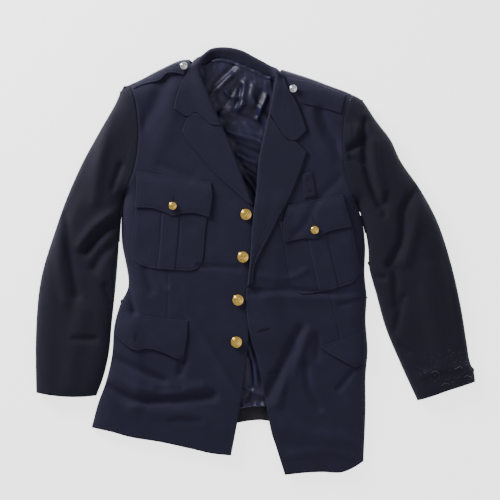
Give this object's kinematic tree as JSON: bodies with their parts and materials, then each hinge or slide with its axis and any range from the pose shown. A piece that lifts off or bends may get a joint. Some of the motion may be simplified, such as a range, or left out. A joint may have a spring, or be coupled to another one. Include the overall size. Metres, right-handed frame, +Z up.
{
  "type": "firefighter dress jacket",
  "caption": "Navy wool uniform dress jacket with notch lapels, shoulder straps, flap pockets and gilt buttons, laid open on its back.",
  "frame": {"origin": "centre of the jacket's outline, on the surface it lies on", "axes": "+Z up from the surface, through the jacket's thickness; +Y from hem to collar; +X towards the wearer's left"},
  "size_m": [0.8819, 0.858, 0.0421],
  "materials": {
    "navy_wool": "matte",
    "facing_wool": "matte",
    "lining_satin": "satin",
    "gilt_brass": "polished",
    "silver_metal": "polished",
    "dark_metal": "satin"
  },
  "bodies": {
    "root": {"back": "navy_wool", "back_hem_facing": "facing_wool", "back_lining": "lining_satin", "badge_tab": "facing_wool", "breast_button_left": "gilt_brass", "breast_button_right": "gilt_brass", "breast_flap_left": "navy_wool", "breast_flap_right": "navy_wool", "breast_pocket_left": "navy_wool", "breast_pocket_right": "navy_wool", "collar": "navy_wool", "eyelet_lower": "dark_metal", "eyelet_upper": "dark_metal", "front_button_1": "gilt_brass", "front_button_2": "gilt_brass", "front_button_3": "gilt_brass", "front_button_4": "gilt_brass", "front_left": "navy_wool", "front_right": "navy_wool", "lapel_left": "navy_wool", "lapel_right": "navy_wool", "lower_flap_left": "navy_wool", "lower_flap_right": "navy_wool", "shoulder_strap_left": "navy_wool", "shoulder_strap_right": "navy_wool", "sleeve_left_top": "navy_wool", "sleeve_left_under": "navy_wool", "sleeve_right_top": "navy_wool", "sleeve_right_under": "navy_wool", "strap_button_left": "silver_metal", "strap_button_right": "silver_metal"}
  },
  "joints": []
}
